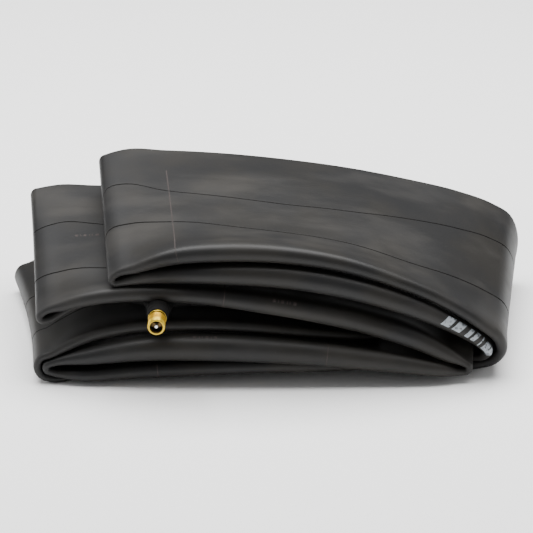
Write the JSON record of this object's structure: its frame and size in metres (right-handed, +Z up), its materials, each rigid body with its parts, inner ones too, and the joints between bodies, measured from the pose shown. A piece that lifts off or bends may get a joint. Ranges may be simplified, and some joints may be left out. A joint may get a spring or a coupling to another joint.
{
  "type": "bicycle inner tube",
  "caption": "Deflated bicycle inner tube folded flat into a stacked bundle, with a metal screw-thread valve and a working valve core for inflating a tyre.",
  "frame": {"origin": "on the table, under the middle of the bundle's bounding box with the valve", "axes": "+X along the fold towards the end with the nested bends, +Y away from the valve, +Z up from the table"},
  "size_m": [0.2457, 0.1192, 0.0717],
  "materials": {
    "tube_rubber": "dusty satin butyl rubber with moulding lines",
    "moulded_rubber": "satin moulded rubber",
    "stem_brass": "machined, slightly tarnished brass",
    "core_brass": "turned brass",
    "seal_plastic": "smooth sealing plastic",
    "pin_steel": "bright drawn wire",
    "spring_steel": "spring wire",
    "seal_rubber": "smooth sealing rubber"
  },
  "bodies": {
    "tube": {"tube_body": "tube_rubber", "valve_patch": "moulded_rubber", "stem_jacket": "moulded_rubber", "valve_stem": "stem_brass"},
    "core": {"core_barrel": "core_brass", "barrel_gasket": "seal_plastic", "core_spring": "spring_steel"},
    "plug": {"core_plug": "core_brass"},
    "pin": {"core_pin": "pin_steel", "seal_cup": "core_brass", "cup_gasket": "seal_rubber"}
  },
  "joints": [
    {"name": "core_slide", "type": "slide", "parent": "tube", "child": "core", "axis": [0, -0.9945, 0.1045], "range_m": [0, 0.00706]},
    {"name": "plug_turn", "type": "hinge", "parent": "core", "child": "plug", "pos_m": [-0.04797, -0.05481, 0.03847], "axis": [0, -0.9945, 0.1045], "range_deg": [0, 3600]},
    {"name": "pin_press", "type": "slide", "parent": "core", "child": "pin", "axis": [0, 0.9945, -0.1045], "range_m": [0, 0.0015], "stiffness_N_per_m": 900, "deforming": ["core_spring"]}
  ],
  "couplings": [
    {"joint": "plug_turn", "follows": "core_slide", "rad_per_m": 8904.7}
  ]
}
